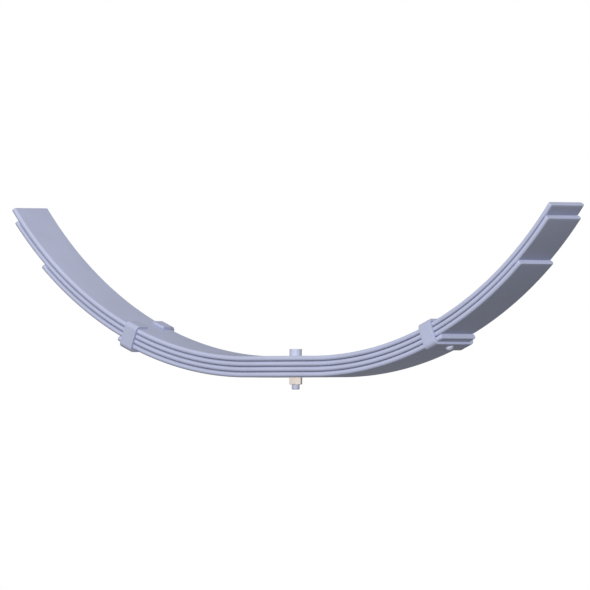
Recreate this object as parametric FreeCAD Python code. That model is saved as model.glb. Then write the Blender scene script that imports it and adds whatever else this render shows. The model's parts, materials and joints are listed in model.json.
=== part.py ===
import FreeCAD, Part
import math
import os
from FreeCAD import Vector

# Semi-elliptic leaf spring of four leaves with flat slipper ends, in millimetres, +Z up.
# The origin is on the centre bolt's axis, on the upper face of the main leaf.
# +X runs along the spring, +Y across it, and both arms curve up from the flat seat.
# Each leaf is one bar on the real spring. Its arms bend, so each bar is cut at the flexing
# section into a centre and two arms, which turn about the underside of the shortest leaf.

# Leaves, from the top down. A half length runs along the leaf's middle, from the bolt to its end.
leaf_width = 75.0
leaf_thickness = 8.0
main_leaf_half_length = 620.0
second_leaf_half_length = 608.0
third_leaf_half_length = 528.0
fourth_leaf_half_length = 340.0
seat_half_length = 68.0          # flat stretch each side of the bolt
camber_radius = 622.0            # upper face of the main leaf, beyond the flat stretch
leaf_bolt_hole_diameter = 13.0

# Flexing section, as in the three-link model of a leaf spring
flex_share = 0.25                # how far along the free arm it lies, from the seat's end
flex_gap = 0.2                   # saw cut between a centre and its arms

# Centre bolt and nut
bolt_diameter = 12.0
bolt_head_diameter = 18.5
bolt_head_height = 10.5
bolt_head_chamfer = 0.5
bolt_end_length = 7.5            # what stands out below the nut
bolt_end_chamfer = 1.0
nut_across_flats = 18.0
nut_height = 10.8
nut_chamfer_share = 0.95         # diameter of the nut's flat face, over its width across flats
nut_chamfer_degrees = 30.0
thread_clearance = 0.05

# Clips, bent from strap and riveted under the fourth leaf
clip_end_distance = 22.5         # from the middle of the clip to the fourth leaf's end
strap_width = 24.0
strap_thickness = 4.5
strap_bend_radius = 3.0          # inside the bend
clip_side_clearance = 0.5
clip_top_clearance = 0.5
clip_flange_cover = 20.5         # how far each bent end covers the main leaf

# Rivets
rivet_diameter = 8.0
rivet_head_diameter = 12.8
rivet_head_height = 5.2
rivet_sunk_diameter = 12.8       # countersunk head in the fourth leaf
rivet_sunk_depth = 2.6
rivet_sunk_recess = 0.1
rivet_clearance = 0.1

leaf_half_lengths = {
    "main_leaf": main_leaf_half_length,
    "second_leaf": second_leaf_half_length,
    "third_leaf": third_leaf_half_length,
    "fourth_leaf": fourth_leaf_half_length,
}
stack_height = leaf_thickness * len(leaf_half_lengths)
underside_radius = camber_radius + stack_height
right_camber_centre = Vector(seat_half_length, 0, camber_radius)
camber_axis = Vector(0, -1, 0)   # a positive turn about it lifts the right arm
across = Vector(0, 1, 0)
up = Vector(0, 0, 1)


def middle_angle(half_length, leaf_index):
    """Angle of the arc, in radians, where half_length along the leaf's middle ends."""
    middle_radius = camber_radius + (leaf_index + 0.5) * leaf_thickness
    return (half_length - seat_half_length) / middle_radius


main_leaf_tip_x = seat_half_length + camber_radius * math.sin(middle_angle(main_leaf_half_length, 0))
flex_x = seat_half_length + flex_share * (main_leaf_tip_x - seat_half_length)
flex_angle = math.asin((flex_x - seat_half_length) / underside_radius)
flex_z = camber_radius - underside_radius * math.cos(flex_angle)


def leaf_section(x, upper_z):
    """Cross section of a bar with fully rounded edges, in the plane X = x."""
    edge_radius = leaf_thickness / 2
    flat = leaf_width / 2 - edge_radius
    lower_z = upper_z - leaf_thickness
    middle_z = upper_z - edge_radius
    upper = Part.LineSegment(Vector(x, -flat, upper_z), Vector(x, flat, upper_z))
    far_edge = Part.Arc(
        Vector(x, flat, upper_z), Vector(x, leaf_width / 2, middle_z), Vector(x, flat, lower_z)
    )
    lower = Part.LineSegment(Vector(x, flat, lower_z), Vector(x, -flat, lower_z))
    near_edge = Part.Arc(
        Vector(x, -flat, lower_z), Vector(x, -leaf_width / 2, middle_z), Vector(x, -flat, upper_z)
    )
    edges = [curve.toShape() for curve in (upper, far_edge, lower, near_edge)]
    return Part.Face(Part.Wire(edges))


def curved_bar(upper_z, start_angle, end_angle):
    """Stretch of the right side's curved bar between two angles, in radians."""
    section = leaf_section(seat_half_length, upper_z)
    section.rotate(right_camber_centre, camber_axis, math.degrees(start_angle))
    return section.revolve(right_camber_centre, camber_axis, math.degrees(end_angle - start_angle))


def mirrored(shape):
    """The same piece on the left side."""
    return shape.mirror(Vector(0, 0, 0), Vector(1, 0, 0))


def on_right_clip_seat(shape):
    """Place a shape made about the clip's seat: local X along the leaf, local Z into the stack."""
    fourth = len(leaf_half_lengths) - 1
    angle = middle_angle(fourth_leaf_half_length - clip_end_distance, fourth)
    seat = Vector(
        seat_half_length + underside_radius * math.sin(angle),
        0,
        camber_radius - underside_radius * math.cos(angle),
    )
    placed = shape.copy()
    placed.Placement = FreeCAD.Placement(seat, FreeCAD.Rotation(across, -math.degrees(angle)))
    return placed


def turned(points):
    """Solid of revolution about Z of a closed outline of (radius, z) points."""
    outline = Part.makePolygon([Vector(r, 0, z) for r, z in points + points[:1]])
    return Part.Face(outline).revolve(Vector(0, 0, 0), up, 360)


def leaf_centre(upper_z):
    flat = leaf_section(-seat_half_length, upper_z).extrude(Vector(2 * seat_half_length, 0, 0))
    right = curved_bar(upper_z, 0, flex_angle)
    bar = flat.fuse([right, mirrored(right)]).removeSplitter()
    hole = Part.makeCylinder(
        leaf_bolt_hole_diameter / 2, leaf_thickness, Vector(0, 0, upper_z - leaf_thickness)
    )
    return bar.cut(hole)


def right_leaf_arm(upper_z, tip_angle):
    return curved_bar(upper_z, flex_angle + flex_gap / underside_radius, tip_angle)


def rivet_outline(clearance, sunk_recess):
    """Shank and countersunk head, from the strap's outer face up to the fourth leaf's upper face."""
    shank_radius = rivet_diameter / 2 + clearance
    sunk_radius = rivet_sunk_diameter / 2 + clearance
    top_z = leaf_thickness - sunk_recess
    cone_z = leaf_thickness - rivet_sunk_depth - sunk_recess
    return [
        (0, -strap_thickness),
        (shank_radius, -strap_thickness),
        (shank_radius, cone_z),
        (sunk_radius, top_z),
        (0, top_z),
    ]


def rivet_hole():
    """Hole through the strap and the fourth leaf, open at both ends."""
    overrun = 1.0
    hole = turned(rivet_outline(rivet_clearance, 0))
    strap_end = Part.makeCylinder(
        rivet_diameter / 2 + rivet_clearance, overrun, Vector(0, 0, -strap_thickness - overrun)
    )
    leaf_end = Part.makeCylinder(
        rivet_sunk_diameter / 2 + rivet_clearance, overrun, Vector(0, 0, leaf_thickness)
    )
    return hole.fuse([strap_end, leaf_end])


def rivet():
    """Rivet with a round head under the strap."""
    head_radius = rivet_head_diameter / 2
    dome_radius = (head_radius**2 + rivet_head_height**2) / (2 * rivet_head_height)
    dome_z = -strap_thickness - rivet_head_height + dome_radius
    dome = Part.makeSphere(dome_radius, Vector(0, 0, dome_z))
    below_strap = Part.makeCylinder(
        head_radius + 1, rivet_head_height + 1, Vector(0, 0, -strap_thickness - rivet_head_height - 1)
    )
    return dome.common(below_strap).fuse(turned(rivet_outline(0, rivet_sunk_recess))).removeSplitter()


def clip():
    """Strap bent round the stack, its ends turned in over the main leaf."""
    inner_half_width = leaf_width / 2 + clip_side_clearance
    inner_height = stack_height + clip_top_clearance
    outer_half_width = inner_half_width + strap_thickness
    outer_height = inner_height + 2 * strap_thickness
    gap_half_width = leaf_width / 2 - clip_flange_cover
    corner = Vector(-strap_width / 2, -outer_half_width, -strap_thickness)
    outside = rounded_bar(corner, outer_half_width, outer_height, strap_bend_radius + strap_thickness)
    inside = rounded_bar(
        Vector(-strap_width / 2, -inner_half_width, 0), inner_half_width, inner_height, strap_bend_radius
    )
    gap = Part.makeBox(
        strap_width,
        2 * gap_half_width,
        2 * strap_thickness,
        Vector(-strap_width / 2, -gap_half_width, inner_height - strap_thickness / 2),
    )
    return outside.cut([inside, gap]).cut(rivet_hole())


def rounded_bar(corner, half_width, height, radius):
    """Bar along X, as long as the strap is wide, with its four long edges rounded."""
    bar = Part.makeBox(strap_width, 2 * half_width, height, corner)
    long_edges = [edge for edge in bar.Edges if abs(edge.tangentAt(edge.FirstParameter).x) > 0.99]
    return bar.makeFillet(radius, long_edges)


def centre_bolt():
    head_radius = bolt_head_diameter / 2
    shank_radius = bolt_diameter / 2
    end_z = -stack_height - nut_height - bolt_end_length
    return turned([
        (0, bolt_head_height),
        (head_radius - bolt_head_chamfer, bolt_head_height),
        (head_radius, bolt_head_height - bolt_head_chamfer),
        (head_radius, 0),
        (shank_radius, 0),
        (shank_radius, end_z + bolt_end_chamfer),
        (shank_radius - bolt_end_chamfer, end_z),
        (0, end_z),
    ])


def centre_nut():
    corner_radius = nut_across_flats / math.sqrt(3)
    corners = [
        Vector(corner_radius * math.cos(math.radians(60 * i)), corner_radius * math.sin(math.radians(60 * i)), 0)
        for i in range(6)
    ]
    prism = Part.Face(Part.makePolygon(corners + corners[:1])).extrude(Vector(0, 0, nut_height))
    face_radius = nut_chamfer_share * nut_across_flats / 2
    reach = corner_radius + 1
    slope = (reach - face_radius) * math.tan(math.radians(nut_chamfer_degrees))
    chamfers = turned([
        (0, 0),
        (face_radius, 0),
        (reach, slope),
        (reach, nut_height - slope),
        (face_radius, nut_height),
        (0, nut_height),
    ])
    bore = Part.makeCylinder(bolt_diameter / 2 + thread_clearance, nut_height)
    nut = prism.common(chamfers).cut(bore)
    nut.translate(Vector(0, 0, -stack_height - nut_height))
    return nut


def all_pieces():
    pieces = {}
    right_rivet_hole = on_right_clip_seat(rivet_hole())
    for index, (leaf, half_length) in enumerate(leaf_half_lengths.items()):
        upper_z = -index * leaf_thickness
        right_arm = right_leaf_arm(upper_z, middle_angle(half_length, index))
        if leaf == "fourth_leaf":
            right_arm = right_arm.cut(right_rivet_hole)
        pieces[leaf + "_centre"] = leaf_centre(upper_z)
        pieces[leaf + "_right_arm"] = right_arm
        pieces[leaf + "_left_arm"] = mirrored(right_arm)
    pieces["centre_bolt"] = centre_bolt()
    pieces["centre_nut"] = centre_nut()
    right_clip = on_right_clip_seat(clip())
    right_rivet = on_right_clip_seat(rivet())
    pieces["right_clip"] = right_clip
    pieces["left_clip"] = mirrored(right_clip)
    pieces["right_clip_rivet"] = right_rivet
    pieces["left_clip_rivet"] = mirrored(right_rivet)
    return pieces


os.makedirs("parts", exist_ok=True)
for name, shape in all_pieces().items():
    solid = shape.Solids[0] if len(shape.Solids) == 1 else shape
    solid.exportStep("parts/" + name + ".step")
    box = solid.BoundBox
    print(
        f"{name}: solids {len(shape.Solids)}, valid {shape.isValid()}, volume {solid.Volume:.0f} mm3, "
        f"x {box.XMin:.1f} to {box.XMax:.1f}, y {box.YMin:.1f} to {box.YMax:.1f}, z {box.ZMin:.1f} to {box.ZMax:.1f}"
    )
print(f"right flexing section at x {flex_x:.3f}, z {flex_z:.3f}, turned {math.degrees(flex_angle):.3f} degrees")
print(f"main leaf tip at x {main_leaf_tip_x:.3f}")
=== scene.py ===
import bmesh
import bpy
import json
import math
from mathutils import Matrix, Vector
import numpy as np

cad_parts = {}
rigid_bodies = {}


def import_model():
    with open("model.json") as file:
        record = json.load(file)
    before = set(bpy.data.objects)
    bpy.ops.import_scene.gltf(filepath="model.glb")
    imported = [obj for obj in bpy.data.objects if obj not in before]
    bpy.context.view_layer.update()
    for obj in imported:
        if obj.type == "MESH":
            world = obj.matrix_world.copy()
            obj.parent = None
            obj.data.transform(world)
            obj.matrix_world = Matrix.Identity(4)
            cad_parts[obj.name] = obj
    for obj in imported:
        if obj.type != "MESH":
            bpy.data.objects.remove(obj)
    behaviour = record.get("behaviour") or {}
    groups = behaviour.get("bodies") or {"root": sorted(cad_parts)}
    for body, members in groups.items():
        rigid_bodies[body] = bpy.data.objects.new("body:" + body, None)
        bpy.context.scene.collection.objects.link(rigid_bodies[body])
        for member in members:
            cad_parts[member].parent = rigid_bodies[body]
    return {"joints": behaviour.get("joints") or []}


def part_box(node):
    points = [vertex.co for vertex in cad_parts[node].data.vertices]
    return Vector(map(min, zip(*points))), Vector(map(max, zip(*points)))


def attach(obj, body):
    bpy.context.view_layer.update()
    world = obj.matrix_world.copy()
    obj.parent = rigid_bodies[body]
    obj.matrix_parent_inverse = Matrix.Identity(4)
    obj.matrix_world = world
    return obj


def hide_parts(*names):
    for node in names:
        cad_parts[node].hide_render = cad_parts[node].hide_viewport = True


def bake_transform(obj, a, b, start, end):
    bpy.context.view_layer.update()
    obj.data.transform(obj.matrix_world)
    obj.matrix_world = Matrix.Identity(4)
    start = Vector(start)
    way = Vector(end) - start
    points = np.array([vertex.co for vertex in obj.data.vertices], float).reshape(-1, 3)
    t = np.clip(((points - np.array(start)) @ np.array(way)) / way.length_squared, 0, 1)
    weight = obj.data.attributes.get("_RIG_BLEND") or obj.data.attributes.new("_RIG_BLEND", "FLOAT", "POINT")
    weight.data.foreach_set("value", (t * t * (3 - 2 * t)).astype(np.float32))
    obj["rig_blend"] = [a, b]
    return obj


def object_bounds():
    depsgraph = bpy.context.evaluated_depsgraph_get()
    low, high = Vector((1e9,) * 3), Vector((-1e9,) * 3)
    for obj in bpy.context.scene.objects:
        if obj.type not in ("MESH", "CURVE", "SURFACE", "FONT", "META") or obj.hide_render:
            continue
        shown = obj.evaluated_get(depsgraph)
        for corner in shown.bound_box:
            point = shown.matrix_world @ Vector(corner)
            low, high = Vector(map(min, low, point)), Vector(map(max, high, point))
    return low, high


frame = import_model()
cadLow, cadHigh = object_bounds()


# sizes are in metres
mergeDistance = 1e-6
leafSettings = {
    "names": ["main_leaf", "second_leaf", "third_leaf", "fourth_leaf"],  # from the top down
    "seatHalf": 0.068,  # flat stretch each side of the bolt
    "camberRadius": 0.622,  # upper face of the main leaf
    "edgeSteps": 12,  # faces round each half of a rolled edge
    "arcStep": 0.005,  # length of one face along the arm
    "endRound": 0.0007,  # sheared ends, edges knocked off
    "endRoundSteps": 2,
    "holeRadius": 0.0065,
    "holeSteps": 48,
    "grimeAndShadeReach": 0.0022,  # how far the grime and painted shade reach out of a joint
    "cleanEnd": 0.006,  # and how short of a sheared end it stops
}
seatHalf = leafSettings["seatHalf"]
camberRadius = leafSettings["camberRadius"]
leafNames = leafSettings["names"]
mainLow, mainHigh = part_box("main_leaf_centre")
leafWidth = mainHigh.y - mainLow.y
leafThickness = -mainLow.z  # the flat seat is the main leaf's lowest part, and its upper face is at 0
stackHeight = leafThickness * len(leafNames)
undersideRadius = camberRadius + stackHeight


# small helps
def clearSelection():
    if bpy.context.mode != "OBJECT":
        bpy.ops.object.mode_set(mode="OBJECT")
    bpy.ops.object.select_all(action="DESELECT")


def pick(piece):
    clearSelection()
    piece.select_set(True)
    bpy.context.view_layer.objects.active = piece


def edit(piece, selectMode):
    pick(piece)
    bpy.ops.object.mode_set(mode="EDIT")
    bpy.ops.mesh.select_mode(type=selectMode)
    bpy.ops.mesh.select_all(action="DESELECT")


def selectWhere(piece, kind, test):
    # kind is verts, edges or faces of the mesh being edited
    bpy.ops.mesh.select_all(action="DESELECT")
    mesh = bmesh.from_edit_mesh(piece.data)
    for element in getattr(mesh, kind):
        if test(element):
            element.select_set(True)
    mesh.select_flush_mode()
    bmesh.update_edit_mesh(piece.data)


def nameIt(name):
    piece = bpy.context.object
    piece.name = name
    piece.data.name = name
    return piece


def finishMesh(piece, smoothDegrees=32):
    edit(piece, "VERT")
    bpy.ops.mesh.select_all(action="SELECT")
    bpy.ops.mesh.remove_doubles(threshold=mergeDistance)
    bpy.ops.mesh.normals_make_consistent(inside=False)
    bpy.ops.object.mode_set(mode="OBJECT")
    pick(piece)
    bpy.ops.object.transform_apply(location=True, rotation=True, scale=True)
    bpy.ops.object.shade_smooth_by_angle(angle=math.radians(smoothDegrees))


def applyModifiers(piece):
    pick(piece)
    for modifier in list(piece.modifiers):
        bpy.ops.object.modifier_apply(modifier=modifier.name)


def combine(piece, tool, how):
    # boolean with a tool that is thrown away afterwards
    pick(piece)
    boolean = piece.modifiers.new("cut", "BOOLEAN")
    boolean.operation = how
    boolean.solver = "EXACT"
    boolean.object = tool
    bpy.ops.object.modifier_apply(modifier=boolean.name)
    bpy.data.objects.remove(tool, do_unlink=True)


def softenEdges(piece, width, segments=2, degrees=40):
    bevel = piece.modifiers.new("soften", "BEVEL")
    bevel.width = width
    bevel.segments = segments
    bevel.limit_method = "ANGLE"
    bevel.angle_limit = math.radians(degrees)
    applyModifiers(piece)


def squareUpShading(piece):
    # flat faces shade flat right up to their rounded edges
    weights = piece.modifiers.new("weights", "WEIGHTED_NORMAL")
    weights.keep_sharp = True
    applyModifiers(piece)


def drawLine(name, points):
    # an open line of vertices, drawn by extruding one vertex from point to point
    clearSelection()
    bpy.ops.mesh.primitive_plane_add(size=0.001, location=(0, 0, 0))
    piece = nameIt(name)
    edit(piece, "VERT")
    bpy.ops.mesh.select_all(action="SELECT")
    bpy.ops.mesh.merge(type="CENTER")
    bpy.ops.transform.translate(value=points[0])
    for start, end in zip(points, points[1:]):
        bpy.ops.mesh.extrude_region_move(TRANSFORM_OT_translate={"value": Vector(end) - Vector(start)})
    bpy.ops.object.mode_set(mode="OBJECT")
    return piece


def turnOnLathe(name, outline, steps):
    # outline is (radius, height) pairs that start and end on the axis
    piece = drawLine(name, [Vector((radius, 0, height)) for radius, height in outline])
    edit(piece, "VERT")
    bpy.ops.mesh.select_all(action="SELECT")
    bpy.ops.mesh.spin(steps=steps, angle=2 * math.pi, center=(0, 0, 0), axis=(0, 0, 1))
    bpy.ops.object.mode_set(mode="OBJECT")
    finishMesh(piece)
    return piece


def arcPoints(centreRadius, centreHeight, radius, fromDegrees, toDegrees, steps):
    points = []
    for step in range(steps + 1):
        angle = math.radians(fromDegrees + (toDegrees - fromDegrees) * step / steps)
        points.append((centreRadius + radius * math.cos(angle), centreHeight + radius * math.sin(angle)))
    return points


def leftCopy(piece, name):
    pick(piece)
    bpy.ops.object.duplicate()
    copy = bpy.context.object
    copy.name = copy.data.name = name
    copy.scale.x = -1
    bpy.ops.object.transform_apply(scale=True)
    finishMesh(copy)
    return copy


# materials
noiseLow, noiseHigh = 0.3, 0.7  # most of a noise pattern's values lie between these


def newMaterial(name):
    material = bpy.data.materials.new(name)
    material.use_nodes = True
    tree = material.node_tree
    shader = tree.nodes["Principled BSDF"]
    return material, tree, shader


def addNode(tree, kind, **values):
    node = tree.nodes.new(kind)
    for key, value in values.items():
        if key in node.inputs:
            node.inputs[key].default_value = value
        else:
            setattr(node, key, value)
    return node


def mapRange(tree, source, fromLow, fromHigh, toLow, toHigh):
    node = tree.nodes.new("ShaderNodeMapRange")
    for key, value in zip(("From Min", "From Max", "To Min", "To Max"), (fromLow, fromHigh, toLow, toHigh)):
        node.inputs[key].default_value = value
    tree.links.new(source, node.inputs["Value"])
    return node.outputs["Result"]


def noiseAt(tree, place, scale, detail=2.0):
    # scale is one number, or three to draw the pattern out along an axis
    if isinstance(scale, tuple):
        mapping = addNode(tree, "ShaderNodeMapping", Scale=scale)
        tree.links.new(place, mapping.inputs["Vector"])
        place, scale = mapping.outputs["Vector"], 1.0
    noise = addNode(tree, "ShaderNodeTexNoise", Scale=scale, Detail=detail, Roughness=0.55)
    tree.links.new(place, noise.inputs["Vector"])
    return noise.outputs["Fac"]


def joinValues(tree, operation, first, second):
    node = addNode(tree, "ShaderNodeMath", operation=operation)
    tree.links.new(first, node.inputs[0])
    tree.links.new(second, node.inputs[1])
    return node.outputs["Value"]


def mixColour(tree, amount, first, second):
    # first and second are each a socket or a plain colour
    node = addNode(tree, "ShaderNodeMix", data_type="RGBA")
    tree.links.new(amount, node.inputs[0])
    for socket, value in ((node.inputs[6], first), (node.inputs[7], second)):
        if isinstance(value, tuple):
            socket.default_value = (*value, 1)
        else:
            tree.links.new(value, socket)
    return node.outputs[2]


def addBumps(tree, shader, layers):
    # layers are (height, strength, depth), the broadest first
    under = None
    for height, strength, depth in layers:
        bump = addNode(tree, "ShaderNodeBump", Strength=strength, Distance=depth)
        tree.links.new(height, bump.inputs["Height"])
        if under:
            tree.links.new(under, bump.inputs["Normal"])
        under = bump.outputs["Normal"]
    tree.links.new(under, shader.inputs["Normal"])


def shades(colour, low, high):
    return tuple(c * low for c in colour), tuple(min(1, c * high) for c in colour)


def wornEdge(tree, settings):
    bareness = addNode(tree, "ShaderNodeNewGeometry").outputs["Pointiness"]
    return mapRange(tree, bareness, settings["edgeFrom"], settings["edgeTo"], 0, settings["wear"])


def paintMaterial(name, settings):
    # satin paint over steel: slow drift of tone, fine speckle, rubbed edges and orange peel; on the leaves
    # also grime and painted shade in the joints
    material, tree, shader = newMaterial(name)
    if settings["isLeaf"]:
        place = addNode(tree, "ShaderNodeAttribute", attribute_name="leafPlace").outputs["Vector"]
    else:
        place = addNode(tree, "ShaderNodeTexCoord").outputs["Object"]
    darker, lighter = shades(settings["colour"], 1 - settings["drift"], 1 + settings["drift"])
    drift = noiseAt(tree, place, settings["driftScale"], 3.0)
    colour = mixColour(tree, mapRange(tree, drift, noiseLow, noiseHigh, 0, 1), darker, lighter)
    speckDark, speckLight = shades(settings["colour"], *settings["speckleShades"])
    speckle = noiseAt(tree, place, settings["speckleScale"])
    speckle = mapRange(tree, speckle, *settings["speckleRange"], 0, 1)
    speckColour = mixColour(tree, speckle, speckDark, speckLight)
    share = mapRange(tree, drift, noiseLow, noiseHigh, *settings["speckle"])
    colour = mixColour(tree, share, colour, speckColour)

    patches = noiseAt(tree, place, settings["wearScale"], 3.0)
    patches = mapRange(tree, patches, *settings["wearPatches"], settings["leastWear"], 1)
    worn = joinValues(tree, "MULTIPLY", wornEdge(tree, settings), patches)
    colour = mixColour(tree, worn, colour, settings["wornColour"])

    rough = mapRange(tree, drift, noiseLow, noiseHigh, *settings["roughness"])
    peel = noiseAt(tree, place, settings["peelScale"], 1.0)
    layers = [(peel, settings["peel"], settings["peelDepth"])]
    if settings["isLeaf"]:
        # leaves only: grime and painted shade in the joints between leaves darken the colour and roughen it
        jointCloseness = addNode(tree, "ShaderNodeAttribute", attribute_name="leafGrimeAndShade").outputs["Fac"]
        uneven = noiseAt(tree, place, settings["grimeAndShadeScale"], 3.0)
        uneven = mapRange(tree, uneven, noiseLow, noiseHigh, settings["leastGrimeAndShade"], 1)
        softGrimeAndShade = mapRange(tree, jointCloseness, 0, 1, 0, settings["grimeAndShade"])
        packedShade = mapRange(tree, jointCloseness, settings["packedShadeFrom"], 1, 0, 1)  # painted shade, solid right in the joint, where the shadowless key would light faces the leaf above hides
        grimeAndShade = joinValues(tree, "MAXIMUM", joinValues(tree, "MULTIPLY", softGrimeAndShade, uneven), packedShade)
        colour = mixColour(tree, grimeAndShade, colour, settings["grimeAndShadeColour"])
        rough = joinValues(tree, "MAXIMUM", rough, grimeAndShade)
        rolled = noiseAt(tree, place, settings["rollingScale"])
        layers.append((rolled, settings["rolling"], settings["peelDepth"]))
        scale = noiseAt(tree, place, settings["scaleScale"], 4.0)
        layers.append((scale, settings["scale"], settings["scaleDepth"]))
    tree.links.new(colour, shader.inputs["Base Color"])
    tree.links.new(rough, shader.inputs["Roughness"])
    addBumps(tree, shader, layers)
    shader.inputs["Specular IOR Level"].default_value = settings["specular"]
    return material


def platedMaterial(name, settings):
    # zinc plating: cloudy shade, edges rubbed bright and fine turning marks round the axis
    material, tree, shader = newMaterial(name)
    place = addNode(tree, "ShaderNodeTexCoord").outputs["Object"]
    darker, lighter = shades(settings["colour"], *settings["cloudShades"])
    cloud = noiseAt(tree, place, settings["cloudScale"], 3.0)
    colour = mixColour(tree, mapRange(tree, cloud, noiseLow, noiseHigh, 0, 1), darker, lighter)
    colour = mixColour(tree, wornEdge(tree, settings), colour, settings["wornColour"])
    rough = mapRange(tree, cloud, noiseLow, noiseHigh, *settings["roughness"])
    marks = noiseAt(tree, place, settings["marksScale"], 1.0)
    tree.links.new(colour, shader.inputs["Base Color"])
    tree.links.new(rough, shader.inputs["Roughness"])
    bloom = (cloud, settings["bloom"], settings["bloomDepth"])
    addBumps(tree, shader, [bloom, (marks, settings["marks"], settings["marksDepth"])])
    shader.inputs["Metallic"].default_value = settings["metallic"]
    shader.inputs["Specular IOR Level"].default_value = settings["specular"]
    return material


leafFinish = {
    "isLeaf": True,
    "colour": (0.43, 0.46, 0.615),
    "drift": 0.045,
    "driftScale": 14.0,
    "speckle": (0.245, 0.455),  # it comes and goes with the drift
    "speckleScale": 900.0,
    "speckleRange": (0.35, 0.65),
    "speckleShades": (0.9, 1.1),
    "edgeFrom": 0.53,
    "edgeTo": 0.62,
    "wear": 0.45,
    "wearScale": 260.0,
    "wearPatches": (0.42, 0.62),
    "leastWear": 0.15,
    "wornColour": (0.56, 0.57, 0.62),
    "roughness": (0.42, 0.56),
    "peel": 0.22,
    "peelScale": 420.0,
    "peelDepth": 0.0002,
    "rolling": 0.12,
    "rollingScale": (6, 420, 420),  # rolling marks run along the bar
    "scale": 0.12,
    "scaleScale": 90.0,
    "scaleDepth": 0.0004,
    # grime and painted shade in the joints between leaves, with a solid painted-shade core
    "grimeAndShade": 0.60,
    "grimeAndShadeScale": (40, 260, 260),
    "leastGrimeAndShade": 0.75,
    "packedShadeFrom": 0.82,
    "grimeAndShadeColour": (0.115, 0.13, 0.21),
    "specular": 0.35,
}
clipFinish = {**leafFinish, "isLeaf": False, "colour": (0.402, 0.432, 0.58), "driftScale": 30.0, "peel": 0.2}
boltFinish = {**clipFinish, "colour": (0.445, 0.475, 0.60), "driftScale": 90.0, "peel": 0.12}
rivetFinish = {**clipFinish, "colour": (0.50, 0.525, 0.65), "driftScale": 120.0, "peel": 0.15}
nutFinish = {
    "colour": (0.85, 0.745, 0.66),
    "cloudScale": 160.0,
    "cloudShades": (0.9, 1.05),
    "edgeFrom": 0.52,
    "edgeTo": 0.62,
    "wear": 0.4,
    "wornColour": (0.80, 0.78, 0.74),
    "roughness": (0.30, 0.45),
    "bloom": 0.1,
    "bloomDepth": 0.0002,
    "marks": 0.15,
    "marksScale": (300, 300, 5200),
    "marksDepth": 0.0001,
    "metallic": 0.15,
    "specular": 0.4,
}
leafPaint = paintMaterial("leafPaint", leafFinish)
clipPaint = paintMaterial("clipPaint", clipFinish)
boltPaint = paintMaterial("boltPaint", boltFinish)
rivetPaint = paintMaterial("rivetPaint", rivetFinish)
creamPlating = platedMaterial("creamPlating", nutFinish)
print("materials made")


# leaves
def tipAngle(index):
    # the lower corner of the end reaches furthest out, so the box gives the angle
    lowerRadius = camberRadius + (index + 1) * leafThickness
    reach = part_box(leafNames[index] + "_right_arm")[1].x - seatHalf
    return math.asin(reach / lowerRadius)


def grimeAndShadeEnd(index):
    # where a joint's grime and painted shade stop: short of the sheared end of the joint's lower leaf
    return seatHalf + camberRadius * tipAngle(index) - leafSettings["cleanEnd"]


def markLeafPlace(piece, index):
    # every point's place as if the leaf lay flat: along it, across it and up,
    # and how close it is to the joint with the next leaf, where grime and painted shade are put
    reach = leafSettings["grimeAndShadeReach"]
    coverBelow = 0 if index == len(leafNames) - 1 else grimeAndShadeEnd(index + 1)
    coverAbove = 0 if index == 0 else grimeAndShadeEnd(index)
    marks = piece.data.attributes
    marks.new("leafPlace", "FLOAT_VECTOR", "POINT")
    marks.new("leafGrimeAndShade", "FLOAT", "POINT")
    place, grimeAndShade = marks["leafPlace"], marks["leafGrimeAndShade"]
    for vertex, mark, grimeAndShadeValue in zip(piece.data.vertices, place.data, grimeAndShade.data):
        side = -1 if vertex.co.x < 0 else 1
        out = abs(vertex.co.x) - seatHalf
        if out <= 0:
            along, height = abs(vertex.co.x), vertex.co.z
        else:
            along = seatHalf + camberRadius * math.atan2(out, camberRadius - vertex.co.z)
            height = camberRadius - math.hypot(out, camberRadius - vertex.co.z)
        mark.vector = (side * along, vertex.co.y, height)
        below = height + (index + 1) * leafThickness  # above the leaf's lower face
        above = -index * leafThickness - height
        # grime and painted shade: strongest where this leaf touches the next one, fading out over the reach
        nearness = 1 - above / reach if along < coverAbove else 0
        if along < coverBelow:
            nearness = max(nearness, 1 - below / reach)
        grimeAndShadeValue.value = min(1, max(0, nearness))


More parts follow.
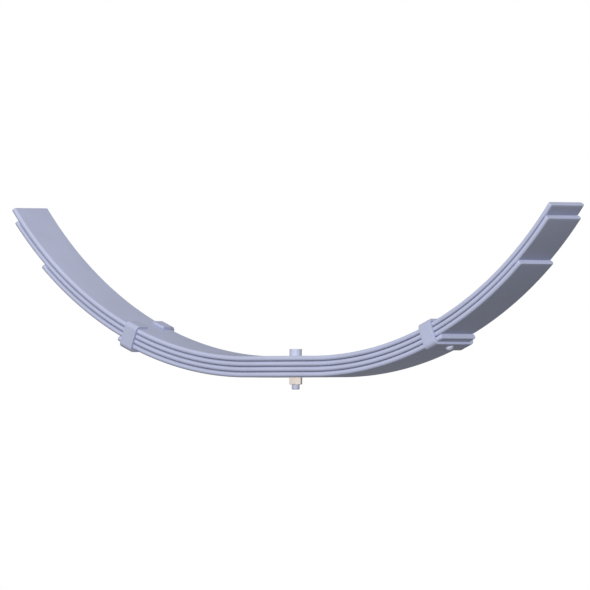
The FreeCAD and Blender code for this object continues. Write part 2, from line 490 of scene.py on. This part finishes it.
def rightLeafHalf(leafName, index):
    middleZ = -(index + 0.5) * leafThickness
    clearSelection()
    bpy.ops.mesh.primitive_cube_add(size=1, location=(seatHalf / 2, 0, middleZ))
    piece = nameIt(leafName + "_right_half")
    piece.scale = (seatHalf, leafWidth, leafThickness)
    bpy.ops.object.transform_apply(location=True, scale=True)

    # rolled edges: both long edges of each side are rounded until they meet
    edit(piece, "EDGE")
    selectWhere(piece, "edges", lambda e: abs(e.verts[0].co.x - e.verts[1].co.x) > seatHalf / 2)
    bpy.ops.mesh.bevel(
        offset=leafThickness / 2, segments=leafSettings["edgeSteps"], affect="EDGES", clamp_overlap=False
    )
    bpy.ops.mesh.select_all(action="SELECT")
    bpy.ops.mesh.remove_doubles(threshold=mergeDistance)

    # the bar is carried on round the camber from its outer end
    bpy.ops.mesh.select_mode(type="FACE")
    selectWhere(piece, "faces", lambda f: f.normal.x > 0.9)
    bpy.ops.mesh.delete(type="ONLY_FACE")
    bpy.ops.mesh.select_mode(type="EDGE")
    selectWhere(piece, "edges", lambda e: all(v.co.x > seatHalf - mergeDistance for v in e.verts))
    angle = tipAngle(index)
    steps = round(angle * camberRadius / leafSettings["arcStep"])
    bpy.ops.mesh.spin(steps=steps, angle=angle, center=(seatHalf, 0, camberRadius), axis=(0, 1, 0))
    bpy.ops.mesh.edge_face_add()

    # the sheared end keeps its flat shading inside its soft rim
    endNormal = Vector((math.cos(angle), 0, math.sin(angle)))
    bpy.ops.mesh.normals_make_consistent(inside=False)
    bpy.ops.mesh.select_mode(type="FACE")

    def isEndFace(face):
        # the one many-sided face across the bar's end
        return len(face.verts) > 4 and abs(face.normal.dot(endNormal)) > 0.999

    selectWhere(piece, "faces", isEndFace)
    bpy.ops.mesh.bevel(
        offset=leafSettings["endRound"], segments=leafSettings["endRoundSteps"], affect="EDGES"
    )
    selectWhere(piece, "faces", isEndFace)
    bpy.ops.mesh.region_to_loop()
    bpy.ops.mesh.mark_sharp()
    bpy.ops.mesh.select_mode(type="FACE")
    bpy.ops.object.mode_set(mode="OBJECT")
    finishMesh(piece)

    clearSelection()
    bpy.ops.mesh.primitive_cylinder_add(
        vertices=leafSettings["holeSteps"],
        radius=leafSettings["holeRadius"],
        depth=2 * leafThickness,
        location=(0, 0, middleZ),
    )
    combine(piece, bpy.context.object, "DIFFERENCE")
    return piece


clipSettings = {
    "fromLeafEnd": 0.0225,  # middle of the clip to the end of the shortest leaf
    "width": 0.024,
    "thickness": 0.0045,
    "bendRadius": 0.003,  # inside the bend
    "sideClearance": 0.0005,
    "topClearance": 0.0005,
    "flangeCover": 0.0205,  # how far each bent end lies over the main leaf
    "bendSteps": 10,
    "edgeRound": 0.0006,
}
rivetSettings = {
    "shankRadius": 0.004,
    "headRadius": 0.0064,
    "headHeight": 0.0052,
    "headEdge": 0.0003,  # short upright edge under the dome
    "sunkRadius": 0.0064,  # countersunk head in the shortest leaf
    "sunkDepth": 0.0026,
    "sunkRecess": 0.0001,
    "clearance": 0.0001,
    "drillOver": 0.001,  # the drill stands this far past both faces
    "edgeRound": 0.0002,
    "domeSteps": 10,
    "turnSteps": 48,
}
fourthIndex = leafNames.index("fourth_leaf")
fourthMiddleRadius = camberRadius + (fourthIndex + 0.5) * leafThickness
clipAngle = tipAngle(fourthIndex) - clipSettings["fromLeafEnd"] / fourthMiddleRadius
clipSeatX = seatHalf + undersideRadius * math.sin(clipAngle)
clipSeatZ = camberRadius - undersideRadius * math.cos(clipAngle)


def toClipSeat(piece):
    # from a piece drawn about the origin: local X along the leaf, local Z into the stack
    pick(piece)
    piece.rotation_euler = (0, -clipAngle, 0)
    piece.location = (clipSeatX, 0, clipSeatZ)
    bpy.ops.object.transform_apply(location=True, rotation=True)


def rivetHole():
    s = rivetSettings
    shank = s["shankRadius"] + s["clearance"]
    sunk = s["sunkRadius"] + s["clearance"]
    over = s["drillOver"]
    lowZ = -clipSettings["thickness"] - over
    outline = [(0, lowZ), (shank, lowZ), (shank, leafThickness - s["sunkDepth"])]
    outline += [(sunk, leafThickness), (sunk, leafThickness + over), (0, leafThickness + over)]
    return turnOnLathe("rivetDrill", outline, s["turnSteps"])


leafHalves = []
for index, leafName in enumerate(leafNames):
    rightHalf = rightLeafHalf(leafName, index)
    if index == fourthIndex:
        rivetDrill = rivetHole()
        toClipSeat(rivetDrill)
        combine(rightHalf, rivetDrill, "DIFFERENCE")
    finishMesh(rightHalf)
    leftHalf = leftCopy(rightHalf, leafName + "_left_half")
    leafHalves += [(rightHalf, index, "right"), (leftHalf, index, "left")]

for piece, index, side in leafHalves:
    leafName = leafNames[index]
    markLeafPlace(piece, index)
    piece.data.materials.clear()
    piece.data.materials.append(leafPaint)
    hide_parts(leafName + "_centre", leafName + "_" + side + "_arm")
print("leaves made:", len(leafHalves), "halves")


# clips and their rivets
def rightClip():
    s = clipSettings
    halfThick = s["thickness"] / 2
    legY = leafWidth / 2 + s["sideClearance"] + halfThick
    lowZ = -halfThick
    highZ = stackHeight + s["topClearance"] + halfThick
    endY = leafWidth / 2 - s["flangeCover"]
    firstX = -s["width"] / 2
    line = [(firstX, -endY, highZ), (firstX, -legY, highZ), (firstX, -legY, lowZ)]
    line += [(firstX, legY, lowZ), (firstX, legY, highZ), (firstX, endY, highZ)]
    piece = drawLine("right_clip_strap", line)
    edit(piece, "VERT")
    selectWhere(piece, "verts", lambda v: abs(v.co.y) > legY - mergeDistance)
    bpy.ops.mesh.bevel(offset=s["bendRadius"] + halfThick, segments=s["bendSteps"], affect="VERTICES")
    bpy.ops.mesh.select_all(action="SELECT")
    bpy.ops.mesh.extrude_region_move(TRANSFORM_OT_translate={"value": (s["width"], 0, 0)})
    bpy.ops.mesh.select_all(action="SELECT")
    bpy.ops.mesh.normals_make_consistent(inside=False)
    bpy.ops.object.mode_set(mode="OBJECT")
    strap = piece.modifiers.new("strap", "SOLIDIFY")
    strap.thickness = s["thickness"]
    strap.offset = 0
    strap.use_even_offset = True
    applyModifiers(piece)
    softenEdges(piece, s["edgeRound"], segments=3)
    finishMesh(piece)
    combine(piece, rivetHole(), "DIFFERENCE")
    finishMesh(piece)
    toClipSeat(piece)
    return piece


def rightRivet():
    s = rivetSettings
    strapZ = -clipSettings["thickness"]
    domeHeight = s["headHeight"] - s["headEdge"]
    domeRadius = (s["headRadius"] ** 2 + domeHeight**2) / (2 * domeHeight)
    domeCentreZ = strapZ - s["headHeight"] + domeRadius
    halfAngle = math.degrees(math.asin(s["headRadius"] / domeRadius))
    outline = arcPoints(0, domeCentreZ, domeRadius, -90, -90 + halfAngle, s["domeSteps"])
    outline += [(s["headRadius"], strapZ), (s["shankRadius"], strapZ)]
    topZ = leafThickness - s["sunkRecess"]
    outline += [(s["shankRadius"], topZ - s["sunkDepth"]), (s["sunkRadius"], topZ), (0, topZ)]
    outline[0] = (0, strapZ - s["headHeight"])  # exactly on the axis
    piece = turnOnLathe("right_clip_rivet_turned", outline, s["turnSteps"])
    softenEdges(piece, s["edgeRound"])
    finishMesh(piece)
    toClipSeat(piece)
    return piece


clipPieces = []
for rightPiece, name, ending, slotName, paint in (
    (rightClip(), "clip", "_strap", "clip", clipPaint),
    (rightRivet(), "clip_rivet", "_turned", "rivet", rivetPaint),
):
    leftPiece = leftCopy(rightPiece, "left_" + name + ending)
    for piece, side in ((rightPiece, "right"), (leftPiece, "left")):
        squareUpShading(piece)
        piece.data.materials.clear()
        piece.data.materials.append(paint)
        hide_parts(side + "_" + name)
        clipPieces.append((piece, side))
print("clips and rivets made")


# centre bolt and nut
boltSettings = {
    "shankRadius": 0.006,
    "headRound": 0.0006,
    "threadPitch": 0.00125,
    "threadDepth": 0.0003,  # shallower than the 0.00077 of a cut thread, so that the end looks plain
    # crest, flank, root, flank and crest, as shares of one pitch
    "threadShares": (0, 0.30, 0.44, 0.56, 0.70, 1),
    "spareTurns": 3,  # cut off again at both ends
    "shankEndInNut": 0.002,  # the plain shank ends this far down inside the nut
    "joinOverlap": 0.0005,  # how far the shank and the thread run into each other
    "endChamfer": 0.0012,
    "turnSteps": 72,
}
nutSettings = {
    "acrossFlats": 0.018,
    "faceShare": 0.95,  # flat face's diameter over the width across flats
    "chamferDegrees": 30,
    "edgeRound": 0.00025,
    "mouthRadius": 0.0065,
    "boreClearance": 0.00005,
    "toolOver": 0.001,  # cutting tools stand this far past the nut
    "turnSteps": 72,
}
boltLow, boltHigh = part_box("centre_bolt")
nutLow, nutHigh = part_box("centre_nut")


def threadedEnd():
    s = boltSettings
    topZ = nutHigh.z - s["shankEndInNut"]
    turns = math.ceil((topZ - boltLow.z) / s["threadPitch"]) + s["spareTurns"]
    crest, root = s["shankRadius"], s["shankRadius"] - s["threadDepth"]
    startZ = boltLow.z - s["spareTurns"] / 2 * s["threadPitch"]
    radii = (crest, crest, root, root, crest, crest)
    points = [Vector((r, 0, startZ + part * s["threadPitch"])) for r, part in zip(radii, s["threadShares"])]
    piece = drawLine("thread", points)
    screw = piece.modifiers.new("thread", "SCREW")
    screw.angle = 2 * math.pi
    screw.screw_offset = s["threadPitch"]
    screw.iterations = turns
    screw.steps = s["turnSteps"]
    screw.render_steps = s["turnSteps"]
    screw.use_merge_vertices = True
    screw.merge_threshold = mergeDistance
    applyModifiers(piece)
    edit(piece, "VERT")
    bpy.ops.mesh.select_all(action="SELECT")
    bpy.ops.mesh.remove_doubles(threshold=mergeDistance)
    bpy.ops.mesh.select_all(action="SELECT")
    cut = {"plane_no": (0, 0, 1), "use_fill": True, "threshold": 1e-7}
    bpy.ops.mesh.bisect(plane_co=(0, 0, boltLow.z), clear_inner=True, **cut)
    bpy.ops.mesh.select_all(action="SELECT")
    bpy.ops.mesh.bisect(plane_co=(0, 0, topZ), clear_outer=True, **cut)
    bpy.ops.object.mode_set(mode="OBJECT")
    for vertex in piece.data.vertices:  # the end is chamfered as on a lathe
        limit = s["shankRadius"] - s["endChamfer"] + max(0, vertex.co.z - boltLow.z)
        away = math.hypot(vertex.co.x, vertex.co.y)
        if away > limit:
            vertex.co.x *= limit / away
            vertex.co.y *= limit / away
    finishMesh(piece)
    return piece, topZ


def centreBolt():
    s = boltSettings
    headRadius = (boltHigh.x - boltLow.x) / 2
    thread, topZ = threadedEnd()
    shank, cornerRound = s["shankRadius"], s["headRound"]
    outline = [(0, boltHigh.z)]
    outline += arcPoints(headRadius - cornerRound, boltHigh.z - cornerRound, cornerRound, 90, 0, 4)
    shankEnd = topZ - s["joinOverlap"]
    outline += [(headRadius, 0), (shank, 0), (shank, shankEnd), (0, shankEnd)]
    piece = turnOnLathe("centre_bolt_piece", outline, s["turnSteps"])
    combine(piece, thread, "UNION")
    finishMesh(piece)
    return piece


def centreNut():
    s = nutSettings
    height = nutHigh.z - nutLow.z
    middleZ = (nutHigh.z + nutLow.z) / 2
    cornerRadius = s["acrossFlats"] / math.sqrt(3)
    clearSelection()
    bpy.ops.mesh.primitive_cylinder_add(
        vertices=6, radius=cornerRadius, depth=height, location=(0, 0, middleZ)
    )
    piece = nameIt("centre_nut_piece")
    bpy.ops.object.transform_apply(location=True)
    edit(piece, "VERT")
    bpy.ops.mesh.select_all(action="SELECT")
    corner = max(bmesh.from_edit_mesh(piece.data).verts, key=lambda v: v.co.x).co
    turn = -math.atan2(corner.y, corner.x)  # a corner of the hexagon points along the spring
    bpy.ops.object.mode_set(mode="OBJECT")
    piece.rotation_euler.z = turn
    pick(piece)
    bpy.ops.object.transform_apply(rotation=True)
    softenEdges(piece, s["edgeRound"])

    faceRadius = s["faceShare"] * s["acrossFlats"] / 2
    over = s["toolOver"]
    reach = cornerRadius + over
    slope = (reach - faceRadius) * math.tan(math.radians(s["chamferDegrees"]))
    low, high = nutLow.z, nutHigh.z
    coneOutline = [(0, low), (faceRadius, low), (reach, low + slope)]
    coneOutline += [(reach, high - slope), (faceRadius, high), (0, high)]
    cones = turnOnLathe("nutCones", coneOutline, s["turnSteps"])
    combine(piece, cones, "INTERSECT")

    boreRadius, mouth = boltSettings["shankRadius"] + s["boreClearance"], s["mouthRadius"]
    boreOutline = [(0, low - over), (mouth + over, low - over), (boreRadius, low + mouth - boreRadius)]
    boreOutline += [(boreRadius, high - mouth + boreRadius), (mouth + over, high + over), (0, high + over)]
    bore = turnOnLathe("nutBore", boreOutline, s["turnSteps"])
    combine(piece, bore, "DIFFERENCE")
    finishMesh(piece)
    return piece


boltPiece, nutPiece = centreBolt(), centreNut()
for piece, paint, slotName, node in (
    (boltPiece, boltPaint, "bolt", "centre_bolt"),
    (nutPiece, creamPlating, "nut", "centre_nut"),
):
    squareUpShading(piece)
    piece.data.materials.clear()
    piece.data.materials.append(paint)
    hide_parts(node)
    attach(piece, "centre_pack")
print("bolt and nut made")


# what moves with what: a leaf bends over this far each side of the hinge
flexSettings = {"reach": 0.120}
for joint in frame["joints"]:
    arm = joint["child"]
    hinge = Vector(joint["pos_m"])
    side = 1 if hinge.x > 0 else -1
    lean = math.asin((abs(hinge.x) - seatHalf) / undersideRadius)
    alongArm = Vector((side * math.cos(lean), 0, math.sin(lean)))
    sideName = arm.split("_")[0]
    for piece, index, pieceSide in leafHalves:
        if pieceSide == sideName:
            start = hinge - alongArm * flexSettings["reach"]
            end = hinge + alongArm * flexSettings["reach"]
            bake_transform(piece, joint["parent"], arm, start=start, end=end)
    for piece, pieceSide in clipPieces:
        if pieceSide == sideName:
            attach(piece, arm)
print("pieces ride on their bodies")


# floor, light and camera
floorSettings = {
    "size": 60,
    "below": 0.0005,  # under the bolt's end
    "colour": (0.26, 0.26, 0.26, 1),
    "roughness": 0.9,
    "specular": 0.1,
    "glow": 0.72,  # keeps it pale out to its far edge, where the key doesn't reach
}
lightSettings = {
    "surround": 0.27,
    "backdrop": 1.0,  # what the camera sees behind the spring
    "azimuth": 32,
    "elevation": 25.5,
    "distance": 10,
    "size": 4,
    "power": 1080,
}


def addFloor():
    s = floorSettings
    clearSelection()
    bpy.ops.mesh.primitive_plane_add(size=s["size"], location=(0, 0, cadLow.z - s["below"]))
    floor = nameIt("floor")
    material, tree, shader = newMaterial("paleFloor")
    shader.inputs["Base Color"].default_value = s["colour"]
    shader.inputs["Roughness"].default_value = s["roughness"]
    shader.inputs["Specular IOR Level"].default_value = s["specular"]
    shader.inputs["Emission Color"].default_value = (1, 1, 1, 1)
    shader.inputs["Emission Strength"].default_value = s["glow"]
    under = addNode(tree, "ShaderNodeNewGeometry")  # the floor is seen from above only
    clear = addNode(tree, "ShaderNodeBsdfTransparent")
    oneSided = addNode(tree, "ShaderNodeMixShader")
    tree.links.new(under.outputs["Backfacing"], oneSided.inputs["Fac"])
    tree.links.new(shader.outputs["BSDF"], oneSided.inputs[1])
    tree.links.new(clear.outputs["BSDF"], oneSided.inputs[2])
    tree.links.new(oneSided.outputs["Shader"], tree.nodes["Material Output"].inputs["Surface"])
    floor.data.materials.append(material)
    floor.visible_diffuse = False
    floor.visible_glossy = False


def addSurround():
    s = lightSettings
    world = bpy.data.worlds.new("studio")
    bpy.context.scene.world = world
    world.use_nodes = True
    tree = world.node_tree
    background = tree.nodes["Background"]
    background.inputs["Color"].default_value = (1, 1, 1, 1)
    background.inputs["Strength"].default_value = s["surround"]
    backdrop = addNode(tree, "ShaderNodeBackground", Color=(1, 1, 1, 1), Strength=s["backdrop"])
    seen = addNode(tree, "ShaderNodeLightPath")
    either = addNode(tree, "ShaderNodeMixShader")
    tree.links.new(seen.outputs["Is Camera Ray"], either.inputs["Fac"])
    tree.links.new(background.outputs["Background"], either.inputs[1])
    tree.links.new(backdrop.outputs["Background"], either.inputs[2])
    tree.links.new(either.outputs["Shader"], tree.nodes["World Output"].inputs["Surface"])


def wayOut(azimuth, elevation):
    # from the spring towards a light or the camera
    a, e = math.radians(azimuth), math.radians(elevation)
    return Vector((math.sin(a) * math.cos(e), -math.cos(a) * math.cos(e), math.sin(e)))


def addKey():
    s = lightSettings
    lamp = bpy.data.lights.new("key", "AREA")
    lamp.energy = s["power"]
    lamp.shape = "DISK"
    lamp.size = s["size"]
    lamp.use_shadow = False
    holder = bpy.data.objects.new("key", lamp)
    bpy.context.scene.collection.objects.link(holder)
    away = wayOut(s["azimuth"], s["elevation"])
    holder.location = away * s["distance"]
    holder.rotation_euler = (-away).to_track_quat("-Z", "Y").to_euler()


cameraSettings = {
    "azimuth": 43.1,
    "elevation": -0.5,
    "widthSeen": 0.885,  # across the picture, at the bolt
    "lens": 1650,  # long enough that the two arms are drawn nearly to one scale
    "sensorWidth": 36,
    "clipShare": 0.01,  # nothing nearer than this share of the distance is drawn
    "sideStep": -0.0010,
    "height": 0.0915,
}


def addCamera():
    s = cameraSettings
    lens = bpy.data.cameras.new("camera")
    lens.lens = s["lens"]
    lens.sensor_width = s["sensorWidth"]
    distance = s["widthSeen"] * s["lens"] / lens.sensor_width
    away = wayOut(s["azimuth"], s["elevation"])
    right = wayOut(s["azimuth"] + 90, 0)
    target = right * s["sideStep"] + Vector((0, 0, s["height"]))
    holder = bpy.data.objects.new("camera", lens)
    bpy.context.scene.collection.objects.link(holder)
    holder.location = target + away * distance
    holder.rotation_euler = (-away).to_track_quat("-Z", "Y").to_euler()
    lens.clip_start = distance * s["clipShare"]
    lens.clip_end = distance * 10
    bpy.context.scene.camera = holder


addFloor()
addSurround()
addKey()
addCamera()
bpy.context.scene.view_settings.view_transform = "Standard"
print("floor, light and camera set")

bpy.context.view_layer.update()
clearSelection()
